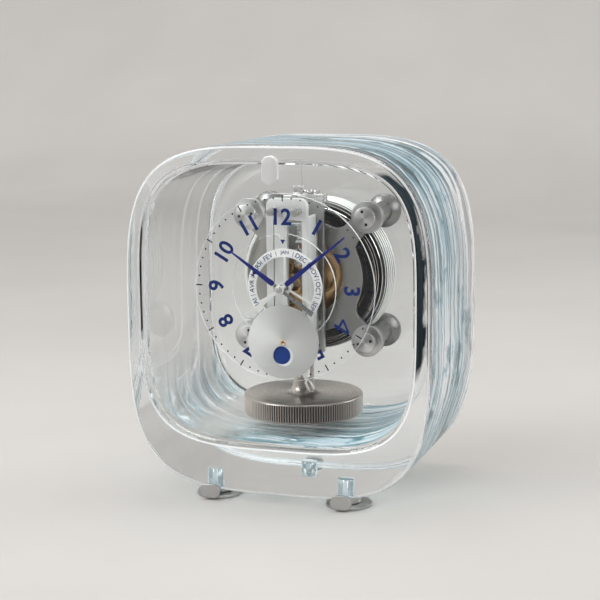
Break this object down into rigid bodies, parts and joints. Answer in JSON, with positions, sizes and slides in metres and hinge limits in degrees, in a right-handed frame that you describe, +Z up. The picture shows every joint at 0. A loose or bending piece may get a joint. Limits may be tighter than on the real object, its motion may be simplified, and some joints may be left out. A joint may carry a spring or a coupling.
{
  "type": "atmospheric torsion clock",
  "caption": "Mantel clock in a thick crystal case: torsion balance, ribbed winding capsule, clear dial ring with month ring, moon disc and blue hands.",
  "frame": {"origin": "middle of the footprint, on the surface that the levelling pads stand on", "axes": "+Z up, -Y towards the viewer of the dial, +X to the viewer's right"},
  "size_m": [0.1972, 0.1308, 0.2234],
  "materials": {
    "crystal": "clear polished crystal",
    "steel": "satin, circular brushed faces",
    "silver": "satin silver",
    "nickel": "warm satin nickel",
    "polished": "polished",
    "blued": "blued steel",
    "brass": "satin gilt",
    "rib": "pale satin",
    "jewel": "polished jewel in a gilt rim",
    "moon": "blue enamel with a pale moon"
  },
  "bodies": {
    "case": {"crystal_cabinet": "crystal", "foot_front_left": "steel", "foot_front_right": "steel", "foot_rear": "steel", "post_top_left": "steel", "post_cap_top_left": "steel", "post_screw_top_left": "steel", "post_top_right": "steel", "post_cap_top_right": "steel", "post_screw_top_right": "steel", "post_bottom_left": "steel", "post_cap_bottom_left": "steel", "post_screw_bottom_left": "steel", "post_bottom_right": "steel", "post_cap_bottom_right": "steel", "post_screw_bottom_right": "steel", "frame_plate": "steel", "front_plate": "silver", "cheek_left": "silver", "cheek_right": "silver", "train_bridge": "steel", "rear_plate": "steel", "dial_ring": "crystal", "dial_screw_top_left": "steel", "dial_screw_top_right": "steel", "dial_screw_bottom_left": "steel", "dial_screw_bottom_right": "steel", "moon_dial": "silver", "return_spring": "polished", "capsule_face": "polished", "capsule_ribs": "rib", "capsule_back": "polished", "torsion_bridge": "silver", "wire_clamp": "polished", "torsion_wire": "polished"},
    "pane": {"front_pane": "crystal", "pane_pull": "silver"},
    "pad_front_left": {"levelling_pad_front_left": "steel"},
    "pad_front_right": {"levelling_pad_front_right": "steel"},
    "pad_rear": {"levelling_pad_rear": "steel"},
    "minute": {"minute_hand": "blued", "minute_counterweight": "silver", "centre_wheel": "brass"},
    "hour": {"hour_hand": "blued", "hour_counterweight": "silver"},
    "month": {"month_ring": "silver"},
    "moon": {"moon_disc": "moon", "moon_jewel": "jewel"},
    "third": {"third_wheel": "brass"},
    "escape": {"escape_wheel": "brass"},
    "pallet": {"pallet_lever": "steel"},
    "barrel": {"mainspring_barrel": "brass"},
    "pusher": {"capsule_pusher": "brass"},
    "balance": {"balance": "nickel"},
    "rate": {"rate_disc": "polished"},
    "lock": {"lock_lever": "polished"}
  },
  "joints": [
    {"name": "pane_slide", "type": "slide", "parent": "case", "child": "pane", "axis": [0, -1, 0], "range_m": [0, 0.06]},
    {"name": "pad_front_left_turn", "type": "hinge", "parent": "case", "child": "pad_front_left", "pos_m": [-0.0432, -0.04585, 0.0015], "axis": [0, 0, 1], "continuous": true},
    {"name": "pad_front_right_turn", "type": "hinge", "parent": "case", "child": "pad_front_right", "pos_m": [0.0432, -0.04585, 0.0015], "axis": [0, 0, 1], "continuous": true},
    {"name": "pad_rear_turn", "type": "hinge", "parent": "case", "child": "pad_rear", "pos_m": [0, 0.04765, 0.0015], "axis": [0, 0, 1], "continuous": true},
    {"name": "minute_turn", "type": "hinge", "parent": "case", "child": "minute", "pos_m": [0, -0.04845, 0.1338], "axis": [0, 1, 0], "continuous": true},
    {"name": "hour_turn", "type": "hinge", "parent": "case", "child": "hour", "pos_m": [0, -0.04685, 0.1338], "axis": [0, 1, 0], "continuous": true},
    {"name": "month_turn", "type": "hinge", "parent": "case", "child": "month", "pos_m": [0, -0.03785, 0.1338], "axis": [0, 1, 0], "continuous": true},
    {"name": "moon_turn", "type": "hinge", "parent": "case", "child": "moon", "pos_m": [0, -0.04085, 0.1], "axis": [0, 1, 0], "continuous": true},
    {"name": "third_turn", "type": "hinge", "parent": "case", "child": "third", "pos_m": [-0.00438, -0.02385, 0.14465], "axis": [0, 1, 0], "continuous": true},
    {"name": "escape_turn", "type": "hinge", "parent": "case", "child": "escape", "pos_m": [0.00379, -0.02185, 0.14762], "axis": [0, 1, 0], "continuous": true},
    {"name": "barrel_turn", "type": "hinge", "parent": "case", "child": "barrel", "pos_m": [0.00116, -0.02285, 0.12276], "axis": [0, 1, 0], "continuous": true},
    {"name": "pallet_rock", "type": "hinge", "parent": "case", "child": "pallet", "pos_m": [0.00379, -0.02185, 0.15572], "axis": [0, 1, 0], "range_deg": [-3, 3]},
    {"name": "pusher_slide", "type": "slide", "parent": "case", "child": "pusher", "axis": [0, -1, 0], "range_m": [0, 0.0024]},
    {"name": "balance_swing", "type": "hinge", "parent": "case", "child": "balance", "pos_m": [0, -0.00315, 0.0595], "axis": [0, 0, 1], "range_deg": [-330, 330]},
    {"name": "rate_turn", "type": "hinge", "parent": "case", "child": "rate", "pos_m": [0.007, -0.00315, 0.1895], "axis": [0, 0, 1], "range_deg": [-150, 150]},
    {"name": "lock_swing", "type": "hinge", "parent": "case", "child": "lock", "pos_m": [0.002, -0.01485, 0.079], "axis": [0, 1, 0], "range_deg": [0, 25]}
  ],
  "couplings": [
    {"joint": "hour_turn", "follows": "minute_turn", "ratio": 0.083333},
    {"joint": "month_turn", "follows": "minute_turn", "ratio": 0.00011408},
    {"joint": "moon_turn", "follows": "minute_turn", "ratio": 0.00070547},
    {"joint": "third_turn", "follows": "minute_turn", "ratio": -2},
    {"joint": "escape_turn", "follows": "minute_turn", "ratio": 4},
    {"joint": "barrel_turn", "follows": "minute_turn", "ratio": -0.25}
  ]
}
